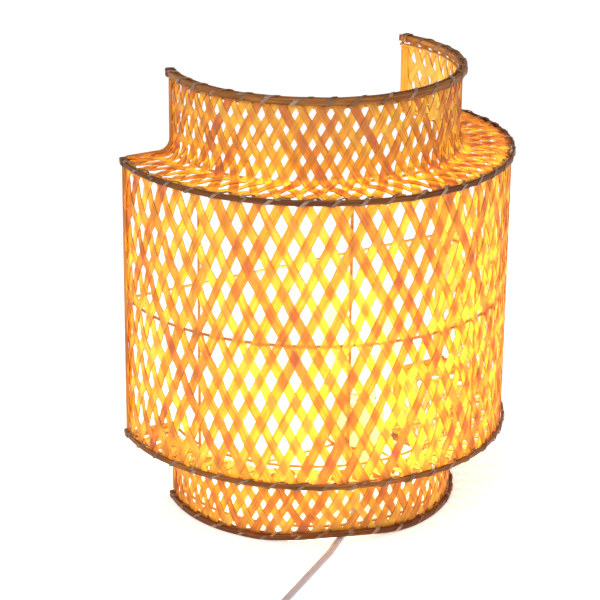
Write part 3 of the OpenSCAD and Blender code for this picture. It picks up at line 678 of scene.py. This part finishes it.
def band(name, outline, lifted, seed):
    """A cane along a rim or hoop, not quite even; lifted takes it over the arch."""
    rng = random.Random(seed)
    p = [rng.uniform(*ANY_PHASE) for _ in range(6)]
    r_mid = outline[:, 0].mean()
    end = reach(r_mid, BAND_Y)
    thetas = np.linspace(-end, end, BAND_STEPS)
    rings = []
    for th in thetas:
        x = math.radians(th)
        r = outline[:, 0] + WOBBLE * (math.sin(WOBBLE_R[0] * x + p[0])
                                      + FINE_WOBBLE * math.sin(WOBBLE_R[1] * x + p[1]))
        z = outline[:, 1] + WOBBLE * (math.sin(WOBBLE_Z[0] * x + p[2])
                                      + FINE_WOBBLE * math.sin(WOBBLE_Z[1] * x + p[3]))
        if lifted:
            z = z + hump(th, r)
        rings.append(round_axis(th, r, z))
    b = Builder()
    b.tube(np.array(rings), np.radians(thetas) * r_mid, girth_of(outline), rng.random())
    return b.make(name, M_CANE, sharp=50)


def wrap(b, outline, centre, steps, lifted, width, tone, advance, thick=0.45, out=0.25, turns=1.0):
    """One strip wound round an outline, its middle at angle centre, advancing on each turn."""
    g = girth_of(outline)
    total = g[-1]
    r_mid = outline[:, 0].mean()
    n = int(steps * turns) + 1
    t = np.linspace(0, turns, n)
    pos = (t % 1.0) * total
    r_at, z_at = (np.interp(pos, g, np.append(outline[:, k], outline[0, k])) for k in range(2))
    c = outline.mean(0)
    half = (outline.max(0) - outline.min(0)) / 2
    nr, nz = (r_at - c[0]) / half[0], (z_at - c[1]) / half[1]
    nr, nz = (np.sign(v) * np.abs(v) ** WRAP_SQUARE for v in (nr, nz))
    length = np.maximum(np.hypot(nr, nz), 1e-6)
    nr, nz = nr / length, nz / length
    theta = centre + advance * (t - turns / 2)
    rings = []
    for side, up in ((-1, 0), (1, 0), (1, 1), (-1, 1)):
        off = out + up * thick
        th = theta + math.degrees(side * width / 2 / r_mid)
        r = r_at + nr * off
        z = z_at + nz * off
        if lifted:
            z = z + hump(th, r)
        rings.append(round_axis(th, r, z))
    b.tube(np.stack(rings, 1), np.linspace(0, turns * total, n),
           [0, width, width + thick, 2 * width + thick, 2 * width + 2 * thick], tone)


def lashing(name, outline, turns, lifted, seed):
    """Single turns of a strip, spread along the whole rim or hoop."""
    rng = random.Random(seed)
    end = reach(outline[:, 0].mean(), LASH_Y) - LASH_BACK
    b = Builder()
    step = 2 * end / turns
    for i in range(turns):
        at = -end + (i + 0.5 + rng.uniform(-LASH_SHIFT, LASH_SHIFT)) * step
        at = max(-end + step / 2, min(at, end - step / 2))
        wrap(b, outline, at, LASH_STEPS, lifted, width=rng.uniform(*LASH_WIDTHS),
             tone=rng.random(), advance=step)
    return b.make(name, M_LASH, sharp=40)


def knots():
    """Strips wound closely round both ends of each rim and hoop."""
    b = Builder()
    rng = random.Random(21)
    for outline, lifted in ((RIM_TOP, False), (RIM_BOTTOM, True), (HOOP_UP, False),
                            (HOOP_LOW, False)):
        end = reach(outline[:, 0].mean(), KNOT_Y) - KNOT_BACK
        for side in (-1, 1):
            wrap(b, outline, side * end, KNOT_STEPS, lifted, width=2.2, tone=rng.random(),
                 advance=0.8, thick=0.5, out=0.3, turns=2.6)
    return b.make("rim_end_knots", M_KNOT, sharp=40)


def hoop_outline(middle):
    return rounded(CANE0, CANE1, middle - HOOP_H / 2, middle + HOOP_H / 2, 0.9)


for name, outline, lifted, seed, node in (
        ("top_rim_outer", rounded(OUT0, OUT1, SHADE_H - RIM_H, SHADE_H, 1.0), False, 1,
         "top_outer_band"),
        ("top_rim_inner", rounded(IN0, IN1, SHADE_H - RIM_H, SHADE_H, 0.5), False, 2,
         "top_inner_band"),
        ("bottom_rim_outer", rounded(OUT0, OUT1, BOTTOM_Z, RIM_H, 1.0), True, 3,
         "bottom_outer_band"),
        ("bottom_rim_inner", rounded(IN0, IN1, BOTTOM_Z, RIM_H, 0.5), True, 4,
         "bottom_inner_band"),
        ("upper_hoop", hoop_outline(MID_Z + HOOP_Z), False, 5, "upper_hoop_cane"),
        ("lower_hoop", hoop_outline(MID_Z - HOOP_Z), False, 6, "lower_hoop_cane")):
    cane = band(name, outline, lifted, seed)
    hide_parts(node)

RIM_TOP = rounded(IN0, OUT1, SHADE_H - RIM_H, SHADE_H, 1.0)
RIM_BOTTOM = rounded(IN0, OUT1, BOTTOM_LASH_Z, RIM_H, 1.0)
HOOP_UP = rounded(HOOP_LASH_R, CANE1, MID_Z + HOOP_Z - HOOP_H / 2, HOOP_LASH_Z, 0.9)
HOOP_LOW = HOOP_UP.copy()
HOOP_LOW[:, 1] = SHADE_H - HOOP_LOW[:, 1]
HOOP_LOW = HOOP_LOW[::-1]
for name, outline, turns, lifted, seed, node in (
        ("top_lashing_strip", RIM_TOP, 19, False, 11, "top_lashing"),
        ("bottom_lashing_strip", RIM_BOTTOM, 19, True, 12, "bottom_lashing"),
        ("upper_hoop_lashing_strip", HOOP_UP, 25, False, 13, "upper_hoop_lashing"),
        ("lower_hoop_lashing_strip", HOOP_LOW, 25, False, 14, "lower_hoop_lashing")):
    strip = lashing(name, outline, turns, lifted, seed)
    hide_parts(node)

knot_ob = knots()
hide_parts("end_knots")

# ---------------------------------------------------------------- strips along the back edges

EDGE_Y0, EDGE_Y1 = 28.4, 34.9     # behind the axis
EDGE_N, EDGE_T = (1.2, -2.0), 0.8  # a strip outside the weave and one inside it; their thickness
EDGE_V = [0, 6.5, 7.3, 13.8, 14.6]
EDGE_GRAIN = 900                  # sets the grain of the two sides apart


def edge_strip(name, side, node):
    b = Builder()
    keep = (PROF_S > RIM_H) & (PROF_S < S_END - RIM_H)
    s = PROF_S[keep]
    for n0 in EDGE_N:
        rings = []
        for y, n in ((EDGE_Y0, n0), (EDGE_Y1, n0), (EDGE_Y1, n0 + EDGE_T), (EDGE_Y0, n0 + EDGE_T)):
            r = along_profile(s, 0) + n * along_profile(s, 2)
            z = along_profile(s, 1) + n * along_profile(s, 3)
            x = np.sqrt(r * r - y * y)
            rings.append(np.stack([side * x, np.full(len(s), AXIS_Y + y), z], -1) * MM)
        b.tube(np.stack(rings, 1), s + EDGE_GRAIN * side, EDGE_V, tone=0.5 + 0.2 * side)
    ob = b.make(name, M_EDGE)
    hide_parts(node)


edge_strip("left_back_strip", -1, "left_edge_strip")
edge_strip("right_back_strip", 1, "right_edge_strip")

# ---------------------------------------------------------------- floor and light, in metres

FLOOR_HALF = 12.0
GLOBE_R = 0.040
LAMP_Y = -0.009


def make_stage():
    me = bpy.data.meshes.new("floor")
    r = FLOOR_HALF
    me.from_pydata([(-r, -r, 0), (r, -r, 0), (r, r, 0), (-r, r, 0)], [], [(0, 1, 2, 3)])
    floor = new_object("floor", me)
    n = Nodes("floor")
    tint = n.mix(n.noise(n.place(), 3.0), (0.95, 0.95, 0.95), (0.97, 0.97, 0.97))
    me.materials.append(n.out(n.add("BsdfPrincipled", ins={
        "Base Color": tint, "Roughness": 0.9, "Specular IOR Level": 0.1,
        "Emission Color": (1, 1, 1, 1), "Emission Strength": 0.5})))


def make_key(at, target, size, power):
    data = bpy.data.lights.new("key", "AREA")
    data.size = size
    data.energy = power
    ob = new_object("key", data)
    ob.location = at
    ob.rotation_euler = (Vector(target) - Vector(at)).to_track_quat("-Z", "Y").to_euler()


def make_bulb_light(linear=0.75, quadratic=0.045):
    """The bulb's light, in the middle of its globe. It fades more slowly with distance than a
    real one, so that the collars are lit as in the photograph."""
    light = bpy.data.lights.new("bulb_light", "POINT")
    light.energy = 6.7
    light.color = (1.0, 0.78, 0.22)
    light.shadow_soft_size = 0.02
    light.use_nodes = True
    tree = light.node_tree
    falloff = tree.nodes.new("ShaderNodeLightFalloff")
    falloff.inputs["Strength"].default_value = 1.0
    total = tree.nodes.new("ShaderNodeMath")
    total.operation = "MULTIPLY_ADD"
    total.inputs[1].default_value = linear
    near = tree.nodes.new("ShaderNodeMath")
    near.operation = "MULTIPLY"
    near.inputs[1].default_value = quadratic
    tree.links.new(falloff.outputs["Quadratic"], near.inputs[0])
    tree.links.new(falloff.outputs["Linear"], total.inputs[0])
    tree.links.new(near.outputs[0], total.inputs[2])
    tree.links.new(total.outputs[0], tree.nodes["Emission"].inputs["Strength"])
    ob = new_object("bulb_light", light)
    ob.location = (0, LAMP_Y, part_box("bulb_glass")[1].z - GLOBE_R)
    ob.visible_camera = False
    ob.visible_transmission = False
    ob.visible_glossy = False
    for name in ("bulb_glass", "bulb_stem", "bulb_filament"):
        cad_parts[name].visible_shadow = False


def make_world(as_light=0.52, as_backdrop=1.05):
    """White all round: a bright backdrop, and softer as a light."""
    world = bpy.data.worlds.new("world")
    bpy.context.scene.world = world
    world.use_nodes = True
    tree = world.node_tree
    background = tree.nodes["Background"]
    background.inputs["Color"].default_value = (1, 1, 1, 1)
    ray = tree.nodes.new("ShaderNodeLightPath")
    level = tree.nodes.new("ShaderNodeMapRange")
    level.inputs["To Min"].default_value = as_light
    level.inputs["To Max"].default_value = as_backdrop
    tree.links.new(ray.outputs["Is Camera Ray"], level.inputs["Value"])
    tree.links.new(level.outputs[0], background.inputs["Strength"])


make_stage()
make_key((-1.4, -1.6, 1.9), (0, 0, 0.2), size=1.6, power=26)
make_bulb_light()
make_world()
bpy.context.scene.view_settings.view_transform = "Standard"
